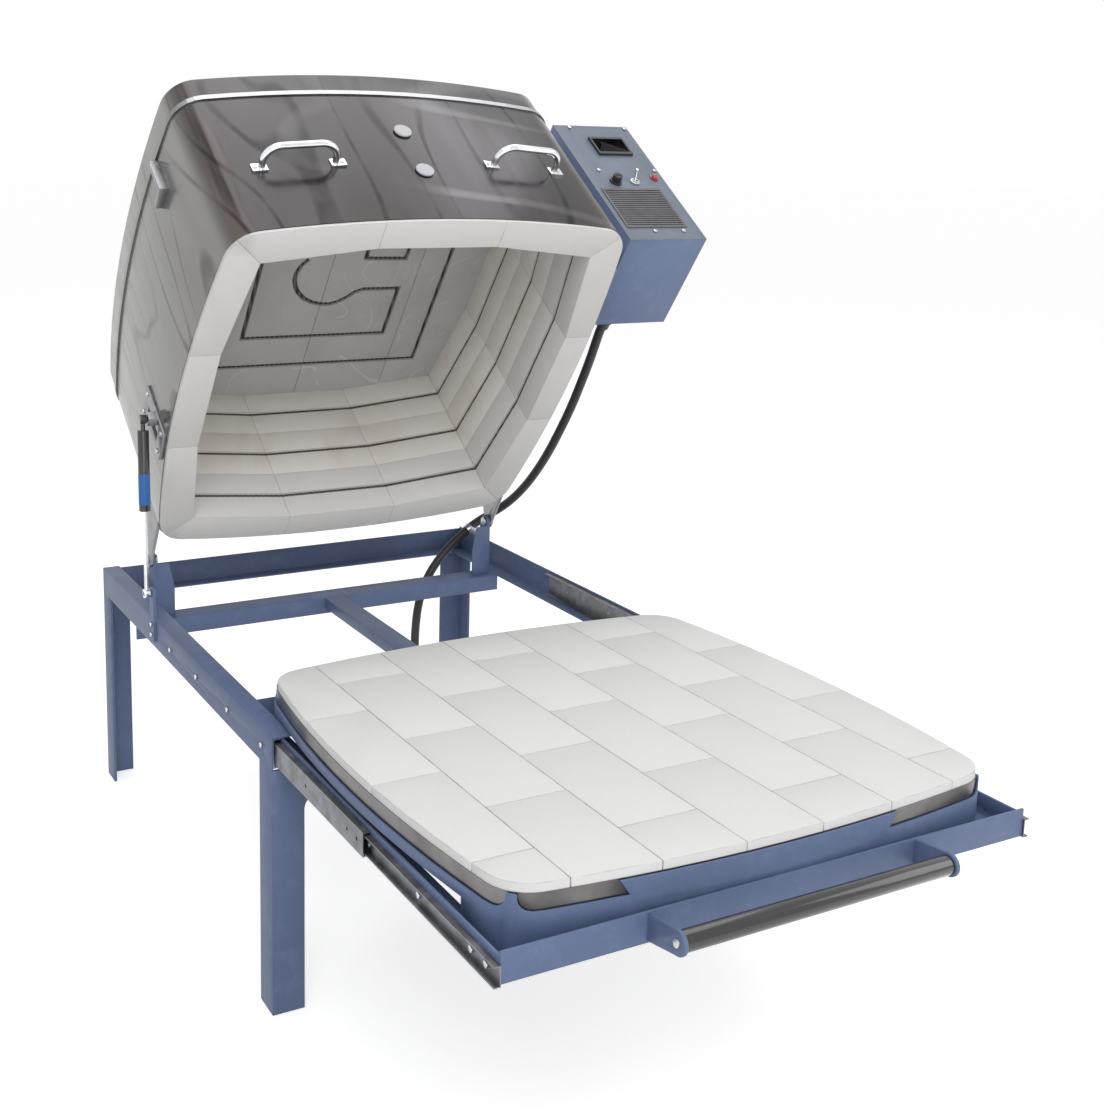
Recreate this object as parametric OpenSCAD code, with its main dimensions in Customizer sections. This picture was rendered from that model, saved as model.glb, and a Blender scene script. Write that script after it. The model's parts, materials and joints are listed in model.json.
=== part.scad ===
// Tip-up glass annealing kiln: a brick-lined bell that tips back on a blue angle stand,
// over a firebrick hearth that pulls out to the front on slides.
// The rest pose is the bell tipped open and the hearth pulled fully out.
// X is to the right seen from the pull bar, Y runs to the hinges, Z is up, the floor is z = 0.

/* [Bell] */
// Width of the square bell across the middle of its bowed sides
bell_w = 780; // [740:1:820]
// How far each side bows out beyond its corners
side_bow = 24; // [16:1:30]
// Radius of the rounded upright corners
corner_r = 60; // [45:1:75]
// Height of one course of wall brick
course_h = 109; // [100:1:120]
// Courses of wall brick
courses = 3; // [2:1:3]
// From the outside of the jacket to the cavity at the middle of a side
wall_mid_t = 58; // [50:1:66]
// From the outside of the jacket to the cavity in a corner
wall_corner_t = 85; // [78:1:95]
// Thickness of the fibre blanket behind the upper courses
blanket_t = 6; // [3:0.5:10]
// Thickness of the roof slabs
roof_t = 76; // [60:1:90]
// Thickness of the sheet jacket
jacket_t = 1.6; // [1:0.1:2.5]
// Width of the element grooves
groove_w = 9; // [7:0.5:12]
// Depth of the element grooves
groove_d = 10; // [8:0.5:14]
// How far the bell stands open, which is also its swing
open_angle = 53.5; // [45:0.5:56]

/* [Hearth] */
// Height of the hearth's top above the floor
hearth_h = 482; // [440:1:560]
// How far the hearth pulls out
bed_travel = 559; // [500:1:570]
// Length of one hearth brick
brick_l = 228.6; // [200:0.1:240]
// Width of one hearth brick
brick_w = 114.3; // [100:0.1:120]
// Thickness of the hearth bricks
brick_t = 31.8; // [25:0.1:34]
// Gap between neighbouring bricks
brick_gap = 0.8; // [0.4:0.1:2]
// Height of brick that shows above the steel band
brick_show = 11; // [6:1:14]
// Gap between the closed bell's rim and the hearth
rim_gap = 1; // [0.5:0.1:3]

/* [Stand] */
// From the bell's widest to the outer face of a side rail
stand_gap = 14; // [13:0.5:25]
// How much deeper the stand is than the bell
stand_extra = 172; // [150:1:210]
// From the closed bell's front back to the front of the stand
stand_short = 71; // [60:1:90]
// Leg of the corner angles
leg_w = 50.8; // [40:0.1:60]
// Thickness of the corner angles
leg_t = 4.8; // [4:0.1:6]
// Height of the rail angles
rail_h = 50.8; // [50.8:0.1:60]
// Flange of the rail angles
rail_flange = 32; // [28:0.5:36]
// Thickness of the rail angles
rail_t = 3.2; // [2.5:0.1:3.5]
// From the hearth's top down to the top of the side rails
rail_drop = 48; // [48:1:56]
// Width of the rail down the middle
centre_rail_w = 42; // [30:1:60]

/* [Tray] */
// Height of the tray's front bar
tray_bar_h = 38.1; // [34:0.1:40]
// Height of the tray's side and rear bars
side_bar_h = 32; // [28:0.1:33]
// Tray's front face, before the bell's widest
tray_front_gap = 6; // [5:0.5:12]
// Tray's rear face, behind the bell's widest
tray_rear_gap = 10; // [5:0.5:12]
// Length of the slides
slide_len = 559; // [540:1:590]
// Height of the slides' outer members
slide_h = 44; // [40:0.5:44]
// Diameter of the pull grip
grip_d = 25; // [20:1:32]
// Length of the pull grip between its ears
grip_l = 394; // [300:1:500]
// How far the grip's middle stands before the tray
grip_reach = 54; // [45:1:80]

/* [Hinge and strut] */
// Hinge axis behind the closed bell's widest
pivot_back = 45; // [40:1:60]
// Hinge axis above the hearth's top
pivot_up = 15; // [14:1:22]
// From the bell's widest in to the middle of a hinge post plate
post_in = 32; // [31:0.5:40]
// Radius of the hinge pins
pin_r = 5; // [4:0.5:7]
// From a side rail's outer face to the middle of the gas strut
strut_gap = 12.5; // [12.5:0.5:16]
// Strut's lower stud before the hinge axis
strut_low_fore = 165; // [155:1:173]
// Strut's lower stud above the hearth's top
strut_low_up = 2; // [0:1:8]
// Strut's upper stud before the hinge axis
strut_high_fore = 337; // [331:1:343]
// Strut's upper stud above the bell's rim
strut_high_up = 62; // [56:1:68]
// Diameter of the strut's cylinder
strut_d = 20; // [16:1:20]
// Diameter of the strut's rod
strut_rod_d = 8; // [6:0.5:9]

/* [Handles and ports] */
// Handles' middle from the bell's middle
handle_x = 210; // [190:1:230]
// Height of the handles above the rim
handle_up = 152; // [130:1:170]
// How far a handle's bar stands off its feet
handle_out = 42; // [35:1:55]
// Diameter of the handles' bar
handle_d = 12; // [8:0.5:13]
// Length of a handle between its upright ends
handle_l = 126; // [100:1:140]
// Height of the lower port above the rim
port_up = 129; // [122:1:140]
// From the lower port to the upper one
port_pitch = 109; // [104:1:112]
// Radius of the ports
port_r = 11; // [8:0.5:14]
// Diameter of the ports' plug heads
plug_d = 32; // [28:1:44]

/* [Control box] */
// Width of the control box
box_w = 171; // [160:1:180]
// Depth of the control box
box_l = 207; // [190:1:220]
// Height of the control box
box_h = 349; // [345:1:355]
// Gap between the bell's jacket and the control box
box_gap = 24; // [20:1:40]
// Front of the control box, before the middle of the bell
box_front = 304; // [290:1:320]
// Bottom of the control box above the rim
box_up = 45; // [38:1:50]
// Thickness of the control box's sheet
box_t = 1.5; // [1:0.1:2.5]
// Diameter of the supply cord
cord_d = 18; // [17:0.5:18]

/* [Hidden] */
$fn = 48;
eps = 0.5; // how far a cutting shape runs past the face it cuts

// Bowed outline shared by bell and hearth
bell_half = bell_w / 2;
bow_chord = bell_half - corner_r;
side_r = (bow_chord * bow_chord + side_bow * side_bow) / (2 * side_bow);
arc_c = bell_half - side_r;
corner_c = (arc_c + sqrt(2 * pow(side_r - corner_r, 2) - arc_c * arc_c)) / 2;
arc_half = atan2(corner_c, corner_c - arc_c);
side_n = 12; // facets along one bowed side
corner_n = 6; // facets round one corner

function turned(p, q) = q == 0 ? p : q == 1 ? [-p.y, p.x] : q == 2 ? [-p.x, -p.y] : [p.y, -p.x];
function bowed_side(inset) = [for (i = [0 : side_n])
    let (t = -arc_half + 2 * arc_half * i / side_n)
    [arc_c + (side_r - inset) * cos(t), (side_r - inset) * sin(t)]];
function round_corner(inset) = [for (i = [1 : corner_n - 1])
    let (t = arc_half + (90 - 2 * arc_half) * i / corner_n)
    [corner_c + (corner_r - inset) * cos(t), corner_c + (corner_r - inset) * sin(t)]];
function outline(inset) = [for (q = [0 : 3])
    for (p = concat(bowed_side(inset), round_corner(inset))) turned(p, q)];

// Heights
rail_top = hearth_h - rail_drop;
rail_bottom = rail_top - rail_h;
frame_top = rail_bottom + rail_t;
rim_z = hearth_h + rim_gap;
pivot_z = hearth_h + pivot_up;
cavity_h = course_h * courses;
roof_top = cavity_h + roof_t;
bell_h = roof_top + jacket_t;
seam_up = cavity_h + 23;
trim_h = 11;
trim_t = 2.4;
jacket_up = 5;

// Cavity with three straight stretches to a side
cavity_corner = bell_half - wall_corner_t;
cavity_bend = bell_half - wall_mid_t;
bend_x = bell_w * 0.141;
function cavity(off) = [for (q = [0 : 3])
    for (p = [[cavity_corner + off, -cavity_corner - off], [cavity_bend + off, -bend_x],
        [cavity_bend + off, bend_x]]) turned(p, q)];

// Stand and tray
stand_half = bell_half + stand_gap;
stand_front = bell_half - stand_short;
stand_back = 2 * bell_half + stand_extra - stand_front;
tray_front = bell_half + tray_front_gap;
tray_rear = bell_half + tray_rear_gap;
slide_mid_z = (frame_top + rail_top - rail_t) / 2;
slide_depth = 12.7;
slide_t = 1.5;
tray_half = stand_half - rail_t - slide_depth;
tray_z = slide_mid_z - 11;
tray_t = 3.2;
tray_floor = tray_z + tray_t;
side_flange = 38;
cross_front = tray_rear + 3;
cross_w = 50;
pan_t = 3;
pan_z = hearth_h - brick_t - pan_t;
band_t = 1.2;
hearth_inset = 4;
ring_t = 3.2;
ring_inset = hearth_inset - band_t - 0.4;
ring_z = rail_top + 3.2;
ring_top = hearth_h - 12;
ring_low_x = stand_half - rail_flange - 1; // inside this the ring can reach down past the rail's flange
window_z = hearth_h - 31;
window_slant = 14;
ear_t = 5;
ear_r = 15;
grip_y = -tray_front - grip_reach;
grip_z = hearth_h - 56;
bearer_t = 6;
bearer_h = 25;
bearer_xs = [for (f = [-0.42, -0.192, 0.192, 0.42]) f * bell_w];

// Hinge and strut
pivot_y = bell_half + pivot_back;
post_x = bell_half - post_in;
strut_x = stand_half + strut_gap;
strut_low_y = pivot_y - strut_low_fore;
strut_high_y = pivot_y - strut_high_fore;
post_t = 6;
arm_t = 6;
arm_gap = 0.5;
arm_x = post_x + post_t / 2 + arm_gap;
arm_r = 14;
pin_clear = 0.05;
post_l = 50;
post_y = pivot_y - arm_r;
arm_strip_t = 4;
arm_strip_x = bell_half - 128;
arm_h = 95;
function opened(p) = [
    pivot_y + (p.x - pivot_y) * cos(open_angle) + (p.y - pivot_z) * sin(open_angle),
    pivot_z - (p.x - pivot_y) * sin(open_angle) + (p.y - pivot_z) * cos(open_angle)];
strut_low = [strut_low_y, hearth_h + strut_low_up];
strut_high_closed = [strut_high_y, rim_z + strut_high_up];
strut_high = opened(strut_high_closed);
strut_open = norm(strut_high - strut_low);
strut_closed = norm(strut_high_closed - strut_low);
strut_stroke = strut_open - strut_closed;
strut_lean = atan2(strut_high.y - strut_low.y, strut_high.x - strut_low.x);
strut_lean_closed = atan2(strut_high_closed.y - strut_low.y, strut_high_closed.x - strut_low.x);
strut_end = 20; // from a stud's middle to the cylinder's end
eye_r = 8;
eye_l = 11;
stud_r = 4;
cylinder_l = strut_closed - 2 * strut_end;
guide_l = 4;
piston_l = 4;
strut_wall = 2.5;
piston_start = strut_open - strut_end - cylinder_l + guide_l + 1;

rail_in = stand_half - rail_t;
rail_edge = stand_half - rail_flange;
front_rail_half = stand_half - leg_w;
gusset_r = 14;

// Slides
hole_r = 2.6;
slide_gap = 0.4;
middle_h = 33;
inner_h = 25;
middle_front = -stand_front - 28.5;
inner_front = -tray_front - 2;
rail_hole_ys = [for (f = [0.07, 0.34, 0.62, 0.88]) f * slide_len - stand_front];
inner_hole_ys = [for (f = [0.05, 0.11, 0.34, 0.59, 0.84]) inner_front + f * slide_len];

// Bell details
joint_w = 0.6;
slab_w = 190;
joint_y = -bell_half + 100;
window_end = bell_half - 44;
bar_top = tray_z + tray_bar_h;
corner_l = 60;
pull_r = 5;
port_zs = [port_up, port_up + port_pitch];
groove_zs = [for (n = [0 : courses - 1]) (n + 0.5) * course_h];
element_d = 6;
lead_y = 175 - bell_half;
lead_r = 3.6;
probe_r = 4;
probe_y = lead_y + 50;
probe_z = course_h * 2.3;
handle_bend = 30;
port_x = 5;
roof_loop_half = bell_half - 140;
roof_path = [[-52, -30], [-64, -14], [-70, 4], [-69, 22], [-63, 40], [-53, 56], [-39, 70], [-21, 80],
    [-1, 86], [18, 87], [36, 81], [52, 70], [66, 57], [82, 50], [159, 50], [159, 172], [-145, 172],
    [-145, -182], [67, -182], [67, -30], [153, -28], [153, -120]];
bracket_face = stand_half + 5;
stud_tip = -bracket_face - 0.4 - eye_l - 2;
strut_bore_r = strut_d / 2 - strut_wall;

// Control box
box_x = bell_half + box_gap;
panel_x = box_x + box_w - 72.5; // middle of the instruments
box_y = -box_front;
box_top = box_up + box_h;
panel_t = 2;
row_z = box_top - 179; // the switch row
display_w = 78;
display_h = 54;
display_z = box_top - 69;
grille_w = 134;
grille_h = 114;
grille_z = box_top - 258;
grille_x = panel_x - 21;
fuse_dx = -44;
lamp_dx = 51;
lamp_up = 12;
screw_dx = 64.5;
screw_zs = [box_top - 8, box_top - 144, box_top - 326];
gland_x = box_x + 48;
gland_up = box_up + 20;
gland_l = 24;
gland_r = 14;

duct_z0 = groove_zs[0] - 14;
duct_z1 = groove_zs[courses - 1] + 14;
panel_screw_at = [for (z = screw_zs) for (k = [-1, 1])
    [panel_x + k * (z == screw_zs[2] ? 32 : screw_dx), z]];
grille_pitch = 5.6;
toggle_tilt = -22;

// Cord, from the gland's end in the rest pose
cord_start = opened([box_y + box_l + gland_l, rim_z + gland_up]);
cord_out = [cos(open_angle), -sin(open_angle)];
clip_at = [post_x - post_t / 2 - 1.5, pivot_y + 66, rail_top + 32];
clip_dir = [-0.8, 0, -0.6];
clip_lean = 180 + atan2(0.8, 0.6);
floor_bend = 72;
fall_x = clip_at.x - 126.5;
coil_x = fall_x - floor_bend - 9;
coil_r = 124;
coil_y = clip_at.y - coil_r;
coil_step = 20;
coil_turns = 2;
coil_lift = cord_d + 0.8; // the last of the coil climbs so that the plug lies on the loops
lift_from = 600;
upper_way = [[112, -284, 402], [114, -249, 346.5], [114.5, -213.5, 291], [112.5, -177, 237],
    [109, -141.5, 186.5], [103.5, -107.5, 142], [96, -77, 105], [86, -50.5, 75.5], [73.5, -29, 53],
    [59, -13.5, 37], [42.5, -3.5, 24.5], [24.5, 0.5, 14]];
lower_way = [[-33, 0, -24], [-61.5, 0, -50], [-88, 0, -82], [-108, 0, -119], [-119.5, 0, -160],
    [-125, 0, -205], [-126.5, 0, -250]];
upper_route = concat([for (t = [0, cord_d]) [gland_x, cord_start.x + t * cord_out.x,
    cord_start.y + t * cord_out.y]], [for (p = upper_way) clip_at + p],
    [clip_at - cord_d * clip_dir * 0.4, clip_at]);
lower_route = concat([clip_at, clip_at + cord_d * clip_dir], [for (p = lower_way) clip_at + p],
    [[fall_x, clip_at.y, 150], [fall_x, clip_at.y, 100]], [for (t = [90 : -15 : 15])
    [fall_x - floor_bend + floor_bend * sin(t), clip_at.y, cord_d / 2 + floor_bend * (1 - cos(t))]],
    [[coil_x + 9, clip_at.y, cord_d / 2], [coil_x, clip_at.y, cord_d / 2]]);
function coil_point(t) = let (r = coil_r - coil_step * t / 360,
    f = max(0, (t - lift_from) / (360 * coil_turns - lift_from)))
    [coil_x - r * sin(t), coil_y + r * cos(t), cord_d / 2 + coil_lift * (1 - cos(180 * f)) / 2];
coil_loops = [for (i = [1 : 24 * coil_turns]) coil_point(15 * i)];
plug_at = coil_loops[24 * coil_turns - 1] + [-cord_d, 0, 0];
coil_route = concat([coil_point(0), coil_point(0) - [6, 0, 0]], coil_loops, [plug_at]);
coil_gap = min([for (i = [0 : len(coil_route) - 1]) for (j = [i + 6 : 1 : len(coil_route) - 1])
    norm(coil_route[i] - coil_route[j])]) - cord_d;
echo(coil_gap = coil_gap);

// Origin at the middle of the footprint
reach_left = strut_x + strut_d / 2;
reach_right = box_x + box_w;
reach_front = bed_travel - grip_y + ear_r;
reach_back = opened([bell_half, rim_z + bell_h]).x;
mid_x = (reach_right - reach_left) / 2;
mid_y = (reach_back - reach_front) / 2;

module place() {
    translate([-mid_x, -mid_y, 0]) children();
}
module in_bed() {
    place() translate([0, -bed_travel, 0]) children();
}
module in_bell() {
    place() translate([0, pivot_y, pivot_z]) rotate([-open_angle, 0, 0])
        translate([0, -pivot_y, rim_z - pivot_z]) children();
}
module on_strut(along) {
    place() translate([-strut_x, strut_low.x, strut_low.y]) rotate([strut_lean - 90, 0, 0])
        translate([0, 0, along]) children();
}
module both_sides() {
    children();
    mirror([1, 0, 0]) children();
}

// A box from its low corner to its high corner
module block(low, high) {
    translate(low) cube(high - low);
}
// A prism of the bowed outline between two heights
module outline_slab(inset, z0, z1) {
    translate([0, 0, z0]) linear_extrude(z1 - z0) polygon(outline(inset));
}
module outline_ring(outer, inner, z0, z1) {
    difference() {
        outline_slab(outer, z0, z1);
        outline_slab(inner, z0 - eps, z1 + eps);
    }
}
// Whatever is left of a shape outside the bell's own outline
module off_wall() {
    difference() {
        children();
        outline_slab(0, -100, bell_h + 100);
    }
}
module cavity_slab(off, z0, z1) {
    translate([0, 0, z0]) linear_extrude(z1 - z0) polygon(cavity(off));
}
// A profile drawn in (y, z) and stretched along X
module along_x(x0, x1) {
    translate([x0, 0, 0]) rotate([90, 0, 90]) linear_extrude(x1 - x0) children();
}
// A profile drawn in (x, z) and stretched along Y
module along_y(y0, y1) {
    translate([0, y1, 0]) rotate([90, 0, 0]) linear_extrude(y1 - y0) children();
}
module rod_x(r, x0, x1) {
    translate([x0, 0, 0]) rotate([0, 90, 0]) cylinder(r = r, h = x1 - x0);
}
module rod_y(r, y0, y1) {
    translate([0, y0, 0]) rotate([-90, 0, 0]) cylinder(r = r, h = y1 - y0);
}
// A pan head on a short shank, pointing along -Y with its seat at y = 0
module screw_y(r) {
    rod_y(r, -r * 0.7, 0);
    rod_y(r * 0.5, -r * 0.5, r);
}
// The same, with its head towards +X and its seat at x = 0
module screw_x(r) {
    rod_x(r, 0, r * 0.7);
    rod_x(r * 0.5, -r, r * 0.5);
}

// Stand
module angle_leg() {
    block([0, 0, 0], [leg_w, leg_t, rail_bottom]);
    block([0, 0, 0], [leg_t, leg_w, rail_bottom]);
}
module legs() {
    color("slategray") place() both_sides() {
        translate([-stand_half, -stand_front, 0]) angle_leg();
        translate([-stand_half, stand_back, 0]) mirror([0, 1, 0]) angle_leg();
    }
}
module rail_holes() {
    for (y = rail_hole_ys) translate([-stand_half, y, slide_mid_z]) rod_x(hole_r, -eps, rail_t + eps);
}
module rail_side() {
    difference() {
        block([-stand_half, -stand_front, rail_bottom], [-stand_half + rail_t, stand_back, rail_top]);
        rail_holes();
    }
}
module side_rail_left() {
    color("steelblue") place() {
        rail_side();
        block([-stand_half, -stand_front, rail_top - rail_t],
            [-stand_half + rail_flange, stand_back, rail_top]);
    }
}
module side_rail_right() {
    color("steelblue") place() mirror([1, 0, 0]) {
        rail_side();
        block([-stand_half, -stand_front, rail_bottom],
            [-stand_half + rail_flange, stand_back, frame_top]);
    }
}
module back_rails() {
    color("steelblue") place() {
        block([-rail_in, stand_back - rail_t, rail_bottom], [rail_edge, stand_back, frame_top]);
        block([-rail_in, stand_back - rail_t, frame_top], [rail_in, stand_back, rail_top - rail_t]);
        block([-rail_in, stand_back - rail_flange, rail_bottom], [rail_edge, stand_back, frame_top]);
        block([-rail_in, cross_front, rail_bottom], [rail_edge, cross_front + cross_w, frame_top]);
        block([-rail_in, cross_front, frame_top - rail_flange],
            [rail_edge, cross_front + rail_t, frame_top]);
    }
}
module rail_gusset() {
    translate([front_rail_half, 0, rail_bottom - rail_h]) difference() {
        block([-gusset_r, 0, -gusset_r], [0, rail_t, 0]);
        translate([-gusset_r, 0, -gusset_r]) rod_y(gusset_r - 0.5, -eps, rail_t + eps);
    }
}
module front_rail() {
    color("steelblue") place() translate([0, -stand_front, 0]) {
        block([-front_rail_half, 0, rail_bottom - rail_h], [front_rail_half, rail_t, rail_bottom]);
        block([-front_rail_half, 0, rail_bottom - rail_t], [front_rail_half, rail_flange, rail_bottom]);
        both_sides() rail_gusset();
    }
}
module centre_rail() {
    color("steelblue") place() {
        block([-centre_rail_w / 2, -stand_front, rail_bottom],
            [centre_rail_w / 2, cross_front, frame_top]);
        both_sides() block([centre_rail_w / 2 - rail_t, rail_flange - stand_front, rail_bottom - 18],
            [centre_rail_w / 2, cross_front, frame_top]);
    }
}

// Hinges
module post_plate() {
    difference() {
        union() {
            along_x(post_x - post_t / 2, post_x + post_t / 2) polygon([[post_y, frame_top],
                [post_y + post_l, frame_top], [post_y + post_l, frame_top + 48],
                [pivot_y + arm_r * 0.8, pivot_z + arm_r * 0.6], [post_y, pivot_z]]);
            translate([0, pivot_y, pivot_z]) rod_x(arm_r, post_x - post_t / 2, post_x + post_t / 2);
        }
        translate([0, pivot_y, pivot_z]) rod_x(pin_r, post_x - post_t, post_x + post_t);
    }
}
module hinge_posts() {
    color("steelblue") place() both_sides() {
        post_plate();
        along_y(post_y, post_y + 4) polygon([[post_x - post_t / 2, frame_top],
            [post_x - post_t / 2, pivot_z - 8], [post_x - post_t / 2 - 24, pivot_z - 8],
            [post_x - post_t / 2 - 34, frame_top + 56], [post_x - post_t / 2 - 34, frame_top]]);
    }
}
module hinge_pins() {
    color("silver") place() both_sides() translate([0, pivot_y, pivot_z]) {
        rod_x(pin_r, post_x - post_t / 2 - 4, arm_x + arm_t + 4.5);
        rod_x(pin_r + 4, arm_x + arm_t + 0.5, arm_x + arm_t + 4.5);
        rod_x(pin_r + 4, post_x - post_t / 2 - 4, post_x - post_t / 2);
    }
}
module arm_shape() {
    difference() {
        along_x(arm_x, arm_x + arm_t) polygon([[bell_half - 90, 12], [bell_half - 90, arm_h], [bell_half - 10, arm_h],
            [pivot_y + arm_r * 0.94, pivot_up - rim_gap + arm_r * 0.34],
            [pivot_y + arm_r * 0.4, pivot_up - rim_gap - arm_r * 0.9], [pivot_y - 8, 2.6]]);
        translate([0, pivot_y, pivot_up - rim_gap]) rod_x(arm_r - 0.02, arm_x - eps, arm_x + arm_t + eps);
    }
    translate([0, pivot_y, pivot_up - rim_gap]) rod_x(arm_r, arm_x, arm_x + arm_t);
}
module hinge_arms() {
    color("steelblue") in_bell() both_sides() {
        off_wall() difference() {
            arm_shape();
            translate([0, pivot_y, pivot_up - rim_gap])
                rod_x(pin_r + pin_clear, arm_x - eps, arm_x + arm_t + eps);
        }
        intersection() {
            outline_ring(-arm_strip_t, 0, 12, arm_h);
            block([arm_strip_x, bell_half / 2, 0], [arm_x, bell_half + 20, bell_h]);
        }
    }
}

// Slides, drawn on the left: u runs outwards from the tray's face
module slide_box(u0, u1, y0, y1, dz0, dz1) {
    block([-tray_half - u1, y0, slide_mid_z + dz0], [-tray_half - u0, y1, slide_mid_z + dz1]);
}
module slide_flanges(u0, u1, y0, y1, low, high) {
    slide_box(u0, u1, y0, y1, low, high);
    slide_box(u0, u1, y0, y1, -high, -low);
}
module slide_slots(ys) {
    for (y = ys) translate([0, y, slide_mid_z]) rod_x(hole_r, -stand_half, -tray_half);
}
module outer_slide() {
    difference() {
        slide_box(slide_depth - slide_t, slide_depth, -stand_front, slide_len - stand_front,
            -slide_h / 2, slide_h / 2);
        slide_slots(rail_hole_ys);
    }
    slide_flanges(1, slide_depth, -stand_front, slide_len - stand_front,
        slide_h / 2 - slide_t, slide_h / 2);
}
module middle_slide() {
    difference() {
        slide_box(slide_depth - 3.4, slide_depth - 1.9, middle_front, middle_front + slide_len,
            -middle_h / 2, middle_h / 2);
        slide_slots([for (y = [20, 50, 190, 330, 470]) middle_front + y]);
    }
    slide_flanges(1, slide_depth - 1.9, middle_front, middle_front + slide_len,
        middle_h / 2 - slide_t, middle_h / 2);
    slide_flanges(3, 9, middle_front + slide_len - 240, middle_front + slide_len,
        middle_h / 2 - slide_t, slide_h / 2 - slide_t - slide_gap);
}
module inner_slide() {
    difference() {
        slide_box(0, slide_t, inner_front, inner_front + slide_len, -inner_h / 2, inner_h / 2);
        slide_slots(inner_hole_ys);
    }
    slide_flanges(0, slide_depth - 3.8, inner_front, inner_front + slide_len,
        inner_h / 2 - slide_t, inner_h / 2);
    slide_flanges(2.5, 8, inner_front + slide_len - 225, inner_front + slide_len,
        inner_h / 2 - slide_t, middle_h / 2 - slide_t - slide_gap);
}
module slide_outers() {
    color("dimgray") place() both_sides() outer_slide();
}
module slide_middle_left() {
    color("gray") place() translate([0, -bed_travel / 2, 0]) middle_slide();
}
module slide_middle_right() {
    color("gray") place() translate([0, -bed_travel / 2, 0]) mirror([1, 0, 0]) middle_slide();
}
module slide_inners() {
    color("darkgray") in_bed() both_sides() inner_slide();
}

// Small parts on the stand
module strut_lower_bracket() {
    color("steelblue") place() difference() {
        union() {
            block([-bracket_face, strut_low.x - 12, rail_bottom + 14],
                [-stand_half, strut_low.x + 12, strut_low.y + 8]);
            translate([0, strut_low.x, strut_low.y]) rod_x(stud_r, stud_tip, -stand_half - 1);
        }
        for (z = [rail_bottom + 24, rail_top - 8])
            translate([0, strut_low.x, z]) rod_x(hole_r, -bracket_face - eps, -stand_half + eps);
    }
}
module cord_clip() {
    difference() {
        union() {
            translate(clip_at) rotate([0, clip_lean, 0]) translate([0, 0, -6])
                cylinder(r = cord_d / 2 + 2, h = 12);
            block([clip_at.x - 1.5, post_y + post_l - 16, clip_at.z - 7],
                [clip_at.x + 1.5, clip_at.y - cord_d / 2 + 1, clip_at.z + 7]);
        }
        translate(clip_at) rotate([0, clip_lean, 0]) translate([0, 0, -30])
            cylinder(r = cord_d / 2, h = 60);
    }
}
module frame_bolts() {
    color("silver") place() {
        for (z = [rail_bottom + 24, rail_top - 8])
            translate([-bracket_face, strut_low.x, z]) mirror([1, 0, 0]) screw_x(4);
        both_sides() for (y = rail_hole_ys)
            translate([-stand_half, y, slide_mid_z]) mirror([1, 0, 0]) screw_x(hole_r * 1.6);
        both_sides() for (y = [post_y + 34, post_y + 44])
            translate([post_x - post_t / 2 - 3, y, frame_top]) cylinder(r = 2.5, h = 4);
        cord_clip();
    }
}
// Cord
function unit(v) = v / norm(v);
function ring_at(p, d, ref, r, n) =
    let (s = unit(cross(d, ref)), t = cross(s, d))
    [for (i = [0 : n - 1]) p + r * (cos(360 * i / n) * s + sin(360 * i / n) * t)];
function heading(ps, i) = i == 0 ? ps[1] - ps[0] :
    i == len(ps) - 1 ? ps[i] - ps[i - 1] : unit(ps[i + 1] - ps[i]) + unit(ps[i] - ps[i - 1]);
module cord_tube(ps, ref, r, n) {
    rings = [for (i = [0 : len(ps) - 1]) for (q = ring_at(ps[i], unit(heading(ps, i)), ref, r, n)) q];
    last = (len(ps) - 1) * n;
    sides = [for (i = [0 : len(ps) - 2]) for (k = [0 : n - 1])
        [i * n + k, i * n + (k + 1) % n, (i + 1) * n + (k + 1) % n, (i + 1) * n + k]];
    near = [[for (k = [n - 1 : -1 : 0]) k]];
    far = [[for (k = [0 : n - 1]) last + k]];
    polyhedron(rings, concat(near, sides, far));
}
module cord_upper() {
    color("black") place() cord_tube(upper_route, [1, 0, 0], cord_d / 2, 10);
}
module cord_lower() {
    color("black") place() cord_tube(lower_route, [0, 1, 0], cord_d / 2, 10);
}
module cord_coil() {
    color("black") place() cord_tube(coil_route, [0, 0, 1], cord_d / 2, 6);
}
module cord_plug() {
    color("black") place() translate(plug_at) {
        rod_x(cord_d / 2 + 2.5, -14, 0);
        block([-46, -17, -cord_d / 2], [-14, 17, 17]);
        for (y = [-9, 9]) translate([0, y, 3]) rod_x(2.4, -62, -46);
        translate([0, 0, 12]) rod_x(2.4, -60, -46);
    }
}

// Hearth, drawn pushed in
module brick_joints() {
    for (k = [-2.5 : 1 : 2.5]) block([k * brick_w - brick_gap / 2, -bell_w, pan_z],
        [k * brick_w + brick_gap / 2, bell_w, hearth_h + eps]);
    for (k = [-3 : 3]) for (n = [-2 : 2])
        let (y = joint_y + n * brick_l + (abs(k) % 2 == 0 ? brick_l / 2 : 0))
        block([(k - 0.5) * brick_w, y - brick_gap / 2, pan_z],
            [(k + 0.5) * brick_w, y + brick_gap / 2, hearth_h + eps]);
}
module hearth_bricks() {
    color("white") in_bed() difference() {
        outline_slab(hearth_inset, hearth_h - brick_t, hearth_h);
        brick_joints();
    }
}
module hearth_band() {
    color("silver") in_bed() outline_ring(hearth_inset - band_t, hearth_inset,
        hearth_h - brick_t, hearth_h - brick_show);
}
module pan_plate() {
    color("silver") in_bed() outline_slab(ring_inset, pan_z, pan_z + pan_t);
}
module ring_window(x0, x1) {
    linear_extrude(60) polygon([[x0, ring_top + 1], for (i = [0 : 4]) let (t = 90 * i / 4)
        [x0 + 14 - 14 * cos(t), window_z + 14 - 14 * sin(t)],
        [x1, window_z], [x1 - window_slant, ring_top + 1]]);
}
module side_windows(spans) {
    for (w = spans) translate([0, -bell_half + 50, 0]) rotate([90, 0, 0]) ring_window(w[0], w[1]);
}
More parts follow.
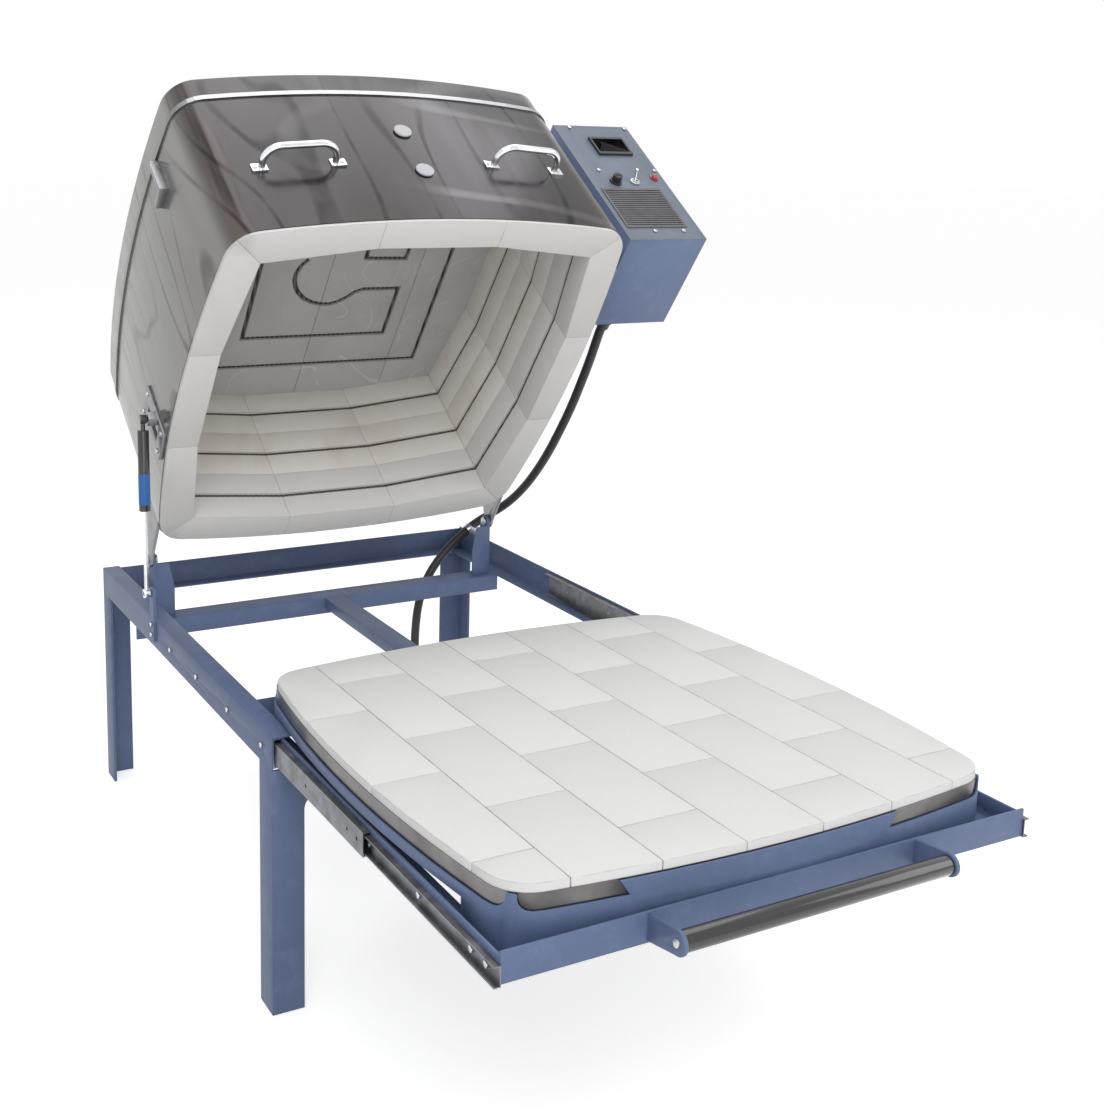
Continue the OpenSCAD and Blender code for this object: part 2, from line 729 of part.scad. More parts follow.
module cradle_ring() {
    color("steelblue") in_bed() difference() {
        outline_ring(ring_inset - ring_t, ring_inset, tray_floor, ring_top);
        for (q = [0, 180]) rotate([0, 0, q]) {
            side_windows([[-window_end, -215]]);
            mirror([1, 0, 0]) side_windows([[-window_end, -165]]);
        }
        for (q = [90, 270]) rotate([0, 0, q]) both_sides() side_windows([[-window_end, window_slant]]);
        both_sides() block([ring_low_x, -bell_w, tray_z], [bell_w, bell_w, ring_z]);
    }
}

// Tray, drawn pushed in
module pan_bearers() {
    color("steelblue") in_bed() intersection() {
        outline_slab(ring_inset, pan_z - bearer_h, pan_z);
        for (x = bearer_xs)
            block([x - bearer_t / 2, -bell_w, pan_z - bearer_h], [x + bearer_t / 2, bell_w, pan_z]);
    }
}
module tray_end_bars() {
    color("steelblue") in_bed() {
        block([-tray_half, -tray_front, tray_z], [tray_half, tray_t - tray_front, bar_top]);
        block([-tray_half + tray_t, -tray_front, tray_z],
            [tray_half - tray_t, tray_bar_h - tray_front, tray_floor]);
        block([-tray_half, tray_rear - tray_t, tray_z], [tray_half, tray_rear, tray_z + side_bar_h]);
        block([-tray_half + tray_t, tray_rear - side_bar_h, tray_z],
            [tray_half - tray_t, tray_rear, tray_floor]);
    }
}
module tray_side_bars() {
    color("steelblue") in_bed() both_sides() {
        difference() {
            block([-tray_half, tray_t - tray_front, tray_z],
                [-tray_half + tray_t, tray_rear - tray_t, tray_z + side_bar_h]);
            slide_slots_at(inner_hole_ys, tray_t + eps);
        }
        block([-tray_half, tray_bar_h - tray_front, tray_z],
            [-tray_half + side_flange, tray_rear - side_bar_h, tray_floor]);
    }
}
module slide_slots_at(ys, reach) {
    for (y = ys) translate([0, y, slide_mid_z]) rod_x(hole_r, -tray_half - eps, -tray_half + reach);
}
module corner_plate() {
    color("lightgray") in_bed() translate([tray_t - tray_half, tray_t - tray_front, tray_floor])
        linear_extrude(tray_t - 0.4) difference() {
            square(corner_l);
            translate([corner_l, corner_l]) circle(corner_l - 8);
            translate([corner_l / 2, corner_l / 2]) square(corner_l);
        }
}
module pull_ears() {
    color("steelblue") in_bed() both_sides() difference() {
        union() {
            along_x(grip_l / 2, grip_l / 2 + ear_t) polygon([[-tray_front, tray_z + 3],
                [-tray_front, bar_top - 2], [grip_y, grip_z + ear_r], [grip_y, grip_z - ear_r]]);
            translate([0, grip_y, grip_z]) rod_x(ear_r, grip_l / 2, grip_l / 2 + ear_t);
        }
        translate([0, grip_y, grip_z]) rod_x(pull_r, grip_l / 2 - eps, grip_l / 2 + ear_t + eps);
    }
}
module pull_grip() {
    color("black") in_bed() translate([0, grip_y, grip_z]) difference() {
        rod_x(grip_d / 2, -grip_l / 2, grip_l / 2);
        rod_x(pull_r, -grip_l, grip_l);
    }
}
module tray_screws() {
    color("silver") in_bed() {
        both_sides() for (y = inner_hole_ys)
            translate([-tray_half - slide_t, y, slide_mid_z]) mirror([1, 0, 0]) screw_x(hole_r * 1.6);
        translate([0, grip_y, grip_z]) rod_x(pull_r, -grip_l / 2 - ear_t - 2, grip_l / 2 + ear_t + 2);
    }
}

// Bell, drawn shut with its rim at z = 0
module jacket() {
    color("silver") in_bell() difference() {
        outline_ring(0, jacket_t, jacket_up, seam_up);
        for (z = port_zs) translate([port_x, 0, z]) rod_y(port_r, -bell_w, 0);
        wall_leads();
    }
}
module seam_trim() {
    color("lightgray") in_bell() outline_ring(-trim_t, 0, seam_up - trim_h / 2, seam_up + trim_h / 2);
}
module roof_cover() {
    color("silver") in_bell() {
        outline_ring(0, jacket_t, seam_up, roof_top);
        outline_slab(0, roof_top, bell_h);
    }
}
module course_joints(z0, z1) {
    for (q = [0 : 90 : 270]) rotate([0, 0, q]) {
        for (x = [-bend_x, bend_x])
            block([x - joint_w / 2, -bell_w, z0 - eps], [x + joint_w / 2, -bell_w / 4, z1 + eps]);
        rotate([0, 0, 45])
            block([-joint_w / 2, -bell_w, z0 - eps], [joint_w / 2, -bell_w / 4, z1 + eps]);
    }
}
module wall_leads() {
    for (z = groove_zs) translate([0, lead_y, z]) rod_x(lead_r, cavity_bend - eps, bell_w);
    translate([0, probe_y, probe_z]) rod_x(probe_r, 0, bell_w);
}
module course(n, inset) {
    difference() {
        outline_slab(inset, n * course_h, (n + 1) * course_h);
        cavity_slab(0, n * course_h - eps, (n + 1) * course_h + eps);
        cavity_slab(groove_d, groove_zs[n] - groove_w / 2, groove_zs[n] + groove_w / 2);
        course_joints(n * course_h, (n + 1) * course_h);
        for (z = port_zs) translate([port_x, 0, z]) rod_y(port_r, -bell_w, 0);
        wall_leads();
    }
}
module rim_course() {
    color("ivory") in_bell() course(0, jacket_t);
}
module upper_courses() {
    color("ivory") in_bell() difference() {
        for (n = [1 : courses - 1]) course(n, jacket_t + blanket_t);
        for (n = [2 : courses - 1]) cavity_slab(5, n * course_h - joint_w / 2, n * course_h + joint_w / 2);
    }
}
module wall_blanket() {
    color("white") in_bell() difference() {
        outline_ring(jacket_t, jacket_t + blanket_t, course_h, cavity_h);
        for (z = port_zs) translate([port_x, 0, z]) rod_y(port_r, -bell_w, 0);
        wall_leads();
    }
}

// Runs of the roof element, as corners of one path
function side_dir(ps, i) =
    let (a = unit(ps[min(i + 1, len(ps) - 1)] - ps[min(i, len(ps) - 2)]),
        b = unit(ps[max(i, 1)] - ps[max(i - 1, 0)]), m = unit(a + b))
    [-m.y, m.x] / (m * a);
module path_run(ps, w, z0, z1) {
    translate([0, 0, z0]) linear_extrude(z1 - z0) polygon(concat(
        [for (i = [0 : len(ps) - 1]) ps[i] + side_dir(ps, i) * w / 2],
        [for (i = [len(ps) - 1 : -1 : 0]) ps[i] - side_dir(ps, i) * w / 2]));
}
module roof_loop(w, z0, z1) {
    difference() {
        block([-roof_loop_half - w / 2, -roof_loop_half - w / 2, z0],
            [roof_loop_half + w / 2, roof_loop_half + w / 2, z1]);
        block([w / 2 - roof_loop_half, w / 2 - roof_loop_half, z0 - eps],
            [roof_loop_half - w / 2, roof_loop_half - w / 2, z1 + eps]);
    }
}
module roof_slabs() {
    color("gainsboro") in_bell() difference() {
        outline_slab(jacket_t, cavity_h, roof_top);
        for (x = [-slab_w, 0, slab_w])
            block([x - joint_w / 2, -bell_w, cavity_h - eps], [x + joint_w / 2, bell_w, roof_top + eps]);
        path_run(roof_path, groove_w, cavity_h - eps, cavity_h + groove_d);
        roof_loop(groove_w, cavity_h - eps, cavity_h + groove_d);
    }
}
module elements() {
    color("dimgray") in_bell() {
        path_run(roof_path, element_d, cavity_h + groove_d - element_d - 1, cavity_h + groove_d - 1);
        roof_loop(element_d, cavity_h + groove_d - element_d - 1, cavity_h + groove_d - 1);
        for (z = groove_zs) {
            difference() {
                cavity_slab(groove_d - 1, z - element_d / 2, z + element_d / 2);
                cavity_slab(groove_d - 1 - element_d, z - bell_h, z + bell_h);
            }
            translate([0, lead_y, z]) rod_x(element_d / 2,
                cavity_bend + groove_d - 1 - element_d / 2, box_x + 14);
        }
    }
}
module thermocouple() {
    color("silver") in_bell() translate([0, probe_y, probe_z]) {
        rod_x(probe_r - 0.3, cavity_bend - 35, box_x + 30);
        rod_x(probe_r + 3, box_x + box_t, box_x + 14);
    }
}

// Fittings on the bell
module side_brackets() {
    color("steelblue") in_bell() off_wall() {
        difference() {
            union() {
                block([-bell_half - 3, strut_high_y - 9, 11], [-bell_half + 40, strut_high_y + 52, 134]);
                block([-bracket_face, strut_high_y - 9, strut_high_up - 9],
                    [-bell_half + 40, strut_high_y + 9, strut_high_up + 9]);
            }
            block([-bell_half - 6, strut_high_y + 16, 40], [-bell_half + 40, strut_high_y + 36, 106]);
        }
        translate([-bell_half - 2, 144 - bell_half, 263]) {
            block([0, 0, 0], [60, 42, 8]);
            block([0, 0, 0], [60, 9, 70]);
            translate([0, 4.5, 70]) rod_x(8, 0, 60);
        }
    }
}
// Moves its children from the wall's face at the front's middle round the bowed side
module on_front(x, z) {
    translate([0, -arc_c, 0]) rotate([0, 0, asin(x / side_r)]) translate([0, -side_r, z]) children();
}
module elbow(r, bend) {
    rotate_extrude(angle = 90) translate([bend, 0]) circle(r);
}
module handle_half() {
    translate([0, -handle_out, 0]) rod_x(handle_d / 2, 0, handle_l / 2 - handle_bend);
    translate([handle_l / 2, 0, 0]) rod_y(handle_d / 2, handle_bend - handle_out, 2);
    translate([handle_l / 2 - handle_bend, handle_bend - handle_out, 0]) rotate([0, 0, -90])
        elbow(handle_d / 2, handle_bend);
    translate([handle_l / 2, 0, 0]) difference() {
        block([-9, -3, -9], [17, 3, 9]);
        translate([11, 0, 0]) rod_y(1.5, -10, 10);
    }
}
module handles() {
    color("silver") in_bell() off_wall() for (x = [-handle_x, handle_x])
        on_front(x, handle_up) both_sides() handle_half();
}
module bell_screws() {
    color("silver") in_bell() {
        for (x = [-handle_x, handle_x]) on_front(x, handle_up) both_sides()
            translate([handle_l / 2 + 11, -3, 0]) screw_y(3);
        for (z = [24, 122]) for (y = [strut_high_y, strut_high_y + 43])
            translate([-bell_half - 3, y, z]) mirror([1, 0, 0]) rod_x(4.5, 0, 2.6);
        for (p = panel_screw_at) translate([p.x, box_y - panel_t, p.y]) screw_y(4);
    }
}
module box_brackets() {
    color("steelblue") in_bell() off_wall() {
        for (z = [box_up + 22, box_top - 60]) {
            block([bell_half - 60, box_y + 14, z], [box_x, box_y + box_l - 14, z + 3]);
            block([box_x - 3, box_y + 14, z], [box_x, box_y + box_l - 14, z + 24]);
        }
        difference() {
            block([bell_half - 60, lead_y - 24, duct_z0], [box_x, lead_y + 72, duct_z1]);
            block([bell_half - 80, lead_y - 22, duct_z0 + 2], [box_x + eps, lead_y + 70, duct_z1 - 2]);
        }
    }
}

// Control box
module control_box() {
    color("steelblue") in_bell() difference() {
        block([box_x, box_y, box_up], [box_x + box_w, box_y + box_l, box_top]);
        block([box_x + box_t, box_y - eps, box_up + box_t],
            [box_x + box_w - box_t, box_y + box_l - box_t, box_top - box_t]);
        for (z = groove_zs) translate([0, lead_y, z]) rod_x(lead_r, box_x - eps, box_x + box_t + eps);
        translate([0, probe_y, probe_z]) rod_x(probe_r, box_x - eps, box_x + box_t + eps);
        translate([gland_x, box_y + box_l, gland_up]) rod_y(gland_r - 4, -2 * box_t, eps);
        for (n = [0 : 5]) block([box_x + box_w - 10, -190 + n * 14, 150],
            [box_x + box_w + eps, -184 + n * 14, 190]);
    }
}
module control_panel() {
    color("lightsteelblue") in_bell() difference() {
        block([box_x, box_y - panel_t, box_up], [box_x + box_w, box_y, box_top]);
        translate([panel_x, 0, display_z]) panel_cut(display_w - 8, display_h - 8);
        translate([grille_x, 0, grille_z]) panel_cut(grille_w - 10, grille_h - 10);
        for (d = [[fuse_dx, 0, 8], [0, 0, 6], [lamp_dx, lamp_up, 6]])
            translate([panel_x + d[0], 0, row_z + d[1]]) rod_y(d[2], box_y - panel_t - eps, box_y + eps);
        for (p = panel_screw_at) translate([p.x, 0, p.y]) rod_y(2, box_y - panel_t - eps, box_y + eps);
    }
}
module panel_cut(w, h) {
    block([-w / 2, box_y - panel_t - eps, -h / 2], [w / 2, box_y + eps, h / 2]);
}
module display_bezel() {
    color("black") in_bell() translate([panel_x, box_y - panel_t, display_z]) difference() {
        union() {
            block([-display_w / 2, -5, -display_h / 2], [display_w / 2, 0, display_h / 2]);
            block([-display_w / 2 + 5, -1, -display_h / 2 + 5],
                [display_w / 2 - 5, 45, display_h / 2 - 5]);
        }
        block([-display_w / 2 + 5, -6, -display_h / 2 + 7], [display_w / 2 - 5, -3, display_h / 2 - 7]);
    }
}
module display_window() {
    color("dimgray") in_bell() translate([panel_x, box_y - panel_t, display_z])
        block([-display_w / 2 + 5, -4.5, -display_h / 2 + 7], [display_w / 2 - 5, -3, display_h / 2 - 7]);
}
module louvre_grille() {
    color("dimgray") in_bell() translate([grille_x, box_y - panel_t, grille_z]) difference() {
        block([-grille_w / 2, -2, -grille_h / 2], [grille_w / 2, 0, grille_h / 2]);
        for (n = [-9 : 9]) block([-grille_w / 2 + 4, -2 - eps, n * grille_pitch - 1],
            [grille_w / 2 - 4, eps, n * grille_pitch + 1.6]);
    }
}
module switch_body() {
    color("silver") in_bell() translate([panel_x, box_y - panel_t, row_z]) difference() {
        union() {
            rod_y(6, -5, panel_t + 2);
            rod_y(9.5, -3, 0);
            block([-13, panel_t, -15], [13, panel_t + 26, 15]);
        }
        rod_y(4.5, -9, 6);
    }
}
module toggle_lever() {
    color("silver") in_bell() translate([panel_x, box_y - panel_t, row_z]) rotate([toggle_tilt, 0, 0]) {
        rod_y(2, -24, 0);
        translate([0, -24, 0]) sphere(r = 3.4);
        sphere(r = 3.4);
        rod_x(1.6, -4, 4);
    }
}
module fuse_holder() {
    color("black") in_bell() translate([panel_x + fuse_dx, box_y - panel_t, row_z]) difference() {
        union() {
            rod_y(12, -4, 0);
            rod_y(8, -1, 48);
        }
        rod_y(6, -5, 40);
    }
}
module fuse_cap() {
    color("dimgray") in_bell() translate([panel_x + fuse_dx, box_y - panel_t, row_z]) difference() {
        union() {
            rod_y(9, -16, -4.3);
            rod_y(5.95, -5, 30);
        }
        block([-7, -17, -1], [7, -14.5, 1]);
    }
}
module pilot_lamp() {
    color("red") in_bell() translate([panel_x + lamp_dx, box_y - panel_t, row_z + lamp_up]) {
        rod_y(8, -3, 0);
        rod_y(6, -4, 22);
        translate([0, -3, 0]) sphere(r = 6.5);
    }
}
module relay() {
    color("black") in_bell() translate([box_x, box_y + box_l - box_t, box_up]) {
        block([50, -38, 150], [115, 0, 235]);
        block([20, -22, 90], [125, 0, 120]);
        for (n = [0 : 5]) translate([30 + n * 17, 0, 105]) rod_y(4, -25, -22);
    }
}
module cord_gland() {
    color("black") in_bell() translate([gland_x, box_y + box_l, gland_up]) difference() {
        union() {
            rod_y(gland_r, 0, 10);
            rod_y(gland_r - 2, 10, gland_l);
            rod_y(gland_r - 4, -8, 0);
            rod_y(gland_r - 1, -8, -box_t);
        }
        rod_y(cord_d / 2, gland_l - 14, gland_l + eps);
    }
}

// Peephole plugs
module port_plug(z) {
    color("ivory") in_bell() translate([port_x, 0, z]) {
        rod_y(plug_d / 2, -bell_half - 5, -bell_half - 0.3);
        rod_y(port_r - 0.3, -bell_half - 1, -cavity_bend - 3);
    }
}
module plug_upper() {
    port_plug(port_zs[1]);
}
module plug_lower() {
    port_plug(port_zs[0]);
}

// Gas strut, drawn along its own line from the lower stud
module strut_rod() {
    color("silver") on_strut(0) difference() {
        union() {
            rod_x(eye_r, -eye_l / 2, eye_l / 2);
            cylinder(r = strut_rod_d / 2, h = piston_start + piston_l);
            translate([0, 0, piston_start]) cylinder(r = strut_bore_r - 0.3, h = piston_l);
        }
        rod_x(stud_r + pin_clear, -eye_l, eye_l);
    }
}
module strut_cylinder() {
    color("black") on_strut(strut_open) {
        difference() {
            translate([0, 0, -strut_end - cylinder_l]) cylinder(r = strut_d / 2, h = cylinder_l);
            translate([0, 0, -strut_end - cylinder_l + guide_l])
                cylinder(r = strut_bore_r, h = cylinder_l - guide_l - 2);
            translate([0, 0, -strut_end - cylinder_l - eps])
                cylinder(r = strut_rod_d / 2 + pin_clear, h = guide_l + 1);
        }
        translate([0, 0, -strut_end - 1]) cylinder(r = 4, h = strut_end);
        rod_x(eye_r, -eye_l / 2, eye_l / 2);
        rod_x(stud_r, eye_l / 2 - 1, strut_x - bracket_face - 0.4);
    }
}

legs();
side_rail_left();
side_rail_right();
back_rails();
front_rail();
centre_rail();
hinge_posts();
hinge_pins();
strut_lower_bracket();
slide_outers();
frame_bolts();
cord_upper();
cord_lower();
cord_coil();
cord_plug();
slide_middle_left();
slide_middle_right();
hearth_bricks();
hearth_band();
pan_plate();
cradle_ring();
pan_bearers();
tray_end_bars();
tray_side_bars();
corner_plate();
pull_ears();
pull_grip();
slide_inners();
tray_screws();
jacket();
seam_trim();
roof_cover();
rim_course();
upper_courses();
wall_blanket();
roof_slabs();
elements();
thermocouple();
hinge_arms();
side_brackets();
handles();
bell_screws();
box_brackets();
control_box();
control_panel();
display_bezel();
display_window();
louvre_grille();
switch_body();
fuse_holder();
pilot_lamp();
relay();
cord_gland();
plug_upper();
plug_lower();
toggle_lever();
fuse_cap();
strut_rod();
strut_cylinder();
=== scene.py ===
import json
import math
import random
import bpy
from mathutils import Matrix, Vector


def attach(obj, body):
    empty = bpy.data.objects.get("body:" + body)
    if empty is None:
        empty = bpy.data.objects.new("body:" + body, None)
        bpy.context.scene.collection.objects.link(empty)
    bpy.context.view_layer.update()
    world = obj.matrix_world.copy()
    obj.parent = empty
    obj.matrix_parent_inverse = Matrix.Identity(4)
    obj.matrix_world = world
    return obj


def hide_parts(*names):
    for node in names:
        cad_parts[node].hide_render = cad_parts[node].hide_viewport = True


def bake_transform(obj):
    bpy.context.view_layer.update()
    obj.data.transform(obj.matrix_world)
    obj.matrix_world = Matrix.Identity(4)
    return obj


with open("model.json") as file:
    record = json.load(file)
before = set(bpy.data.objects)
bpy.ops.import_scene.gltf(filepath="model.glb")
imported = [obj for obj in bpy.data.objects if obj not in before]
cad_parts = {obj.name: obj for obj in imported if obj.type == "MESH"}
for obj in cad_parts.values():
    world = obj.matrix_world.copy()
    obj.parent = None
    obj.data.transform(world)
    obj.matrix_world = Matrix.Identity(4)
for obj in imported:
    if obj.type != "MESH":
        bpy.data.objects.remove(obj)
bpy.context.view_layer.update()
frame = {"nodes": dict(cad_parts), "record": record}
nodes = frame["nodes"]
bodyOf = {node: body for body, members in frame["record"]["behaviour"]["bodies"].items()
          for node in members}
slotOf = {part["node"]: part["material_slot"] for part in frame["record"]["subparts"]}
print("frame loaded:", len(nodes), "nodes")

# the kiln's own layout, in millimetres from the floor under the middle of the shut bell,
# and the bell's swing from shut to open in degrees
layout = {"midX": 79.25, "midY": -150.8903, "pivotY": 435, "pivotZ": 497, "rimZ": 483,
          "open": 53.5, "bellHalf": 390, "cornerR": 60, "sideR": 2280.75}


def place(x, y, z):
    return Vector(((x - layout["midX"]) / 1000, (y - layout["midY"]) / 1000, z / 1000))


def bellMatrix():
    pivot = place(0, layout["pivotY"], layout["pivotZ"])
    swing = Matrix.Rotation(math.radians(-layout["open"]), 4, "X")
    return (Matrix.Translation(pivot) @ swing @ Matrix.Translation(-pivot)
            @ Matrix.Translation(place(0, 0, layout["rimZ"])))


inBell = bellMatrix()


# a point on the open bell, in millimetres from the middle of its rim
def bellPoint(x, y, z):
    return inBell @ Vector((x / 1000, y / 1000, z / 1000))


# shader sums written as plain expressions
class Wire:
    def __init__(self, paint, socket):
        self.paint, self.socket = paint, socket

    def sum(self, operation, first, second):
        return self.paint.node("ShaderNodeMath", {"operation": operation}, {0: first, 1: second})

    def of(self, operation, other=0):
        return self.sum(operation, self, other)

    def __add__(self, other):
        return self.sum("ADD", self, other)

    def __radd__(self, other):
        return self.sum("ADD", other, self)

    def __sub__(self, other):
        return self.sum("SUBTRACT", self, other)

    def __rsub__(self, other):
        return self.sum("SUBTRACT", other, self)

    def __mul__(self, other):
        return self.sum("MULTIPLY", self, other)

    def __rmul__(self, other):
        return self.sum("MULTIPLY", other, self)


class Paint:
    def __init__(self, name):
        self.material = bpy.data.materials.new(name)
        self.material.use_nodes = True
        self.tree = self.material.node_tree
        self.tree.nodes.clear()
        self.shader = self.tree.nodes.new("ShaderNodeBsdfPrincipled")
        end = self.tree.nodes.new("ShaderNodeOutputMaterial")
        self.tree.links.new(self.shader.outputs[0], end.inputs[0])
        self.where = self.node("ShaderNodeTexCoord", out="Object")

    def feed(self, socket, value):
        if isinstance(value, Wire):
            self.tree.links.new(value.socket, socket)
        elif hasattr(value, "__len__") and len(value) == 3 and socket.type == "RGBA":
            socket.default_value = (*value, 1)
        else:
            socket.default_value = value

    def node(self, kind, settings=None, inputs=None, out=0):
        made = self.tree.nodes.new(kind)
        for key, value in (settings or {}).items():
            if key == "stops":
                for stop, (at, level) in zip(made.color_ramp.elements, value):
                    stop.position = at
                    stop.color = (level, level, level, 1)
            else:
                setattr(made, key, value)
        for key, value in (inputs or {}).items():
            self.feed(made.inputs[key], value)
        return Wire(self, made.outputs[out])

    def put(self, **values):
        for key, value in values.items():
            self.feed(self.shader.inputs[key.replace("_", " ")], value)
        return self

    # a pattern's place on the open bell: moved, turned back by degrees about X, then stretched
    def spot(self, stretch=(1, 1, 1), turn=0, origin=(0, 0, 0)):
        return self.node("ShaderNodeMapping", {"vector_type": "TEXTURE"}, {
            "Vector": self.where, "Scale": tuple(1 / s for s in stretch),
            "Location": tuple(origin), "Rotation": (math.radians(turn), 0, 0)})

    def axis(self, spot, number):
        return self.node("ShaderNodeSeparateXYZ", {}, {0: spot}, number)

    # 0 nearer to the bell's middle plane than start, 1 further out than end, in metres
    def outward(self, start, end):
        far = (self.axis(self.where, 0) + layout["midX"] / 1000).of("ABSOLUTE")
        return self.ramp((far - start) * (1 / (end - start)), [(0, 0), (1, 1)])

    def noise(self, scale, detail=4, rough=0.55, at=None, warp=0):
        return self.node("ShaderNodeTexNoise", {}, {
            "Vector": at or self.where, "Scale": scale, "Detail": detail,
            "Roughness": rough, "Distortion": warp}, "Fac")

    # thin lines that follow the level curves of a soft noise
    def contours(self, stretch, turn, scale, count, thin):
        hills = self.noise(scale, 1, 0.35, self.spot(stretch, turn), 0.1)
        return self.ramp((hills * count).of("SINE"), [(thin, 0), (1.0, 1)])

    def ramp(self, value, stops):
        return self.node("ShaderNodeValToRGB", {"stops": stops}, {"Fac": value}, "Color")

    def mix(self, amount, first, second):
        return self.node("ShaderNodeMix", {"data_type": "RGBA", "blend_type": "MIX"},
                         {0: amount, 6: first, 7: second}, 2)

    def bump(self, height, strength, distance):
        return self.node("ShaderNodeBump", {}, {
            "Height": height, "Strength": strength, "Distance": distance}, "Normal")

    # 1 where two faces meet, 0 a radius away
    def edges(self, radius, near=0.72, far=0.985):
        soft = self.node("ShaderNodeBevel", {"samples": 6}, {"Radius": radius})
        flat = self.node("ShaderNodeNewGeometry", out="Normal")
        dot = self.node("ShaderNodeVectorMath", {"operation": "DOT_PRODUCT"},
                        {0: soft, 1: flat}, "Value")
        return self.ramp(dot, [(near, 1), (far, 0)])


def darker(colour, part):
    return tuple(c * part for c in colour)


# a colour times a factor, with a little white added
def paler(colour, factor, white=0.0):
    return tuple(min(1, c * factor + white) for c in colour)


def bluePaint(name, colour, rubbed):
    paint = Paint(name)
    cloud = paint.noise(2.6, 3)
    dust = paint.noise(34, 5, 0.65)
    base = paint.mix(paint.ramp(cloud, [(0.3, 0), (0.7, 1)]), darker(colour, 0.80), colour)
    base = paint.mix(paint.ramp(dust, [(0.50, 0), (0.72, 0.35)]), base, paler(colour, 1.18, 0.02))
    # paler edges: paint wear together with a painted highlight along them; rubbed sets how strong
    # both are
    wornEdgesAndHighlight = paint.edges(0.0016) * paint.ramp(dust, [(0.25, 0.25), (0.6, 1)]) * rubbed
    base = paint.mix(wornEdgesAndHighlight, base, paler(colour, 1.5, 0.07))
    peel = paint.bump(paint.noise(240, 2), 0.06, 0.0004)
    return paint.put(Base_Color=base, Roughness=0.40 + paint.noise(9, 4) * 0.16, Normal=peel,
                     Specular_IOR_Level=0.32).material


# grey smear on the rim beyond this distance from its middle, in metres
rimSmear = {"from": 0.318, "sharpness": 50, "colour": (0.40, 0.40, 0.43)}


def firebrick(name, colour, stain, pits, stains, tones, joint, cracks=0, smear=0):
    paint = Paint(name)
    tone = paint.node("ShaderNodeAttribute", {"attribute_name": "tone"}, {}, "Fac")
    grain = paint.noise(420, 6, 0.75)
    speck = paint.node("ShaderNodeTexVoronoi", {}, {"Vector": paint.where, "Scale": 260},
                       "Distance")
    pores = (paint.ramp(speck, [(0.06, 1), (0.16, 0)])
             * paint.noise(60, 3).of("GREATER_THAN", 0.56))
    base = paint.mix(paint.ramp(grain, [(0.3, 0), (0.7, 1)]), darker(colour, 0.94), colour)
    base = paint.mix(tone * tones, base, darker(colour, 0.84))
    cloud = paint.noise(7, 5, 0.6, warp=0.6)
    base = paint.mix(paint.ramp(cloud, [(0.48, 0), (0.74, 1)]) * stains, base, stain)
    base = paint.mix(pores * pits, base, darker(colour, 0.55))
    if cracks:
        craze = (paint.contours((1, 1, 1), 0, 5.0, 46, 0.992)
                 * paint.noise(9, 2).of("GREATER_THAN", 0.52))
        base = paint.mix(craze * cracks, base, paler(colour, 1.5))
    if smear:
        rim = paint.spot((1, 1, 1), -layout["open"], inBell.translation)
        near = (0 - paint.axis(rim, 0)).of("MINIMUM", paint.axis(rim, 1).of("ABSOLUTE"))
        edge = paint.ramp((near - rimSmear["from"]) * rimSmear["sharpness"], [(0, 0), (1, 1)])
        rubbed = paint.ramp(paint.noise(26, 5), [(0.3, 0.3), (0.6, 1)])
        base = paint.mix(edge * rubbed * smear, base, rimSmear["colour"])
    uneven = paint.ramp(paint.noise(38, 4), [(0.36, 0.30), (0.58, 1)])
    base = paint.mix(paint.edges(0.0030, 0.80, 0.97) * uneven * joint, base,
                     darker(colour, 0.20))
    rough = paint.bump(grain - pores * 0.8, 0.35, 0.0006)
    return paint.put(Base_Color=base, Roughness=0.95, Normal=rough,
                     Specular_IOR_Level=0.2).material


# reach from the middle plane in metres, and the colours of the bell's front and flanks, all
# painted reflection: a dark front, paler flanks, warm and dark streaks at the corners, thin dark
# lines and pale glints
jacketLook = {
    "sides": (0.348, 0.366), "corners": (0.305, 0.345), "roof": 0.397,
    "front": ((0.046, 0.043, 0.043), (0.080, 0.076, 0.080)),
    "flank": ((0.205, 0.202, 0.196), (0.275, 0.272, 0.266)),
    "corner": ((0.034, 0.028, 0.027), (0.150, 0.118, 0.112)),
    "lines": ((0.016, 0.014, 0.014), (0.085, 0.080, 0.076)),
    "glints": ((0.190, 0.184, 0.188), (0.34, 0.335, 0.33)),
}


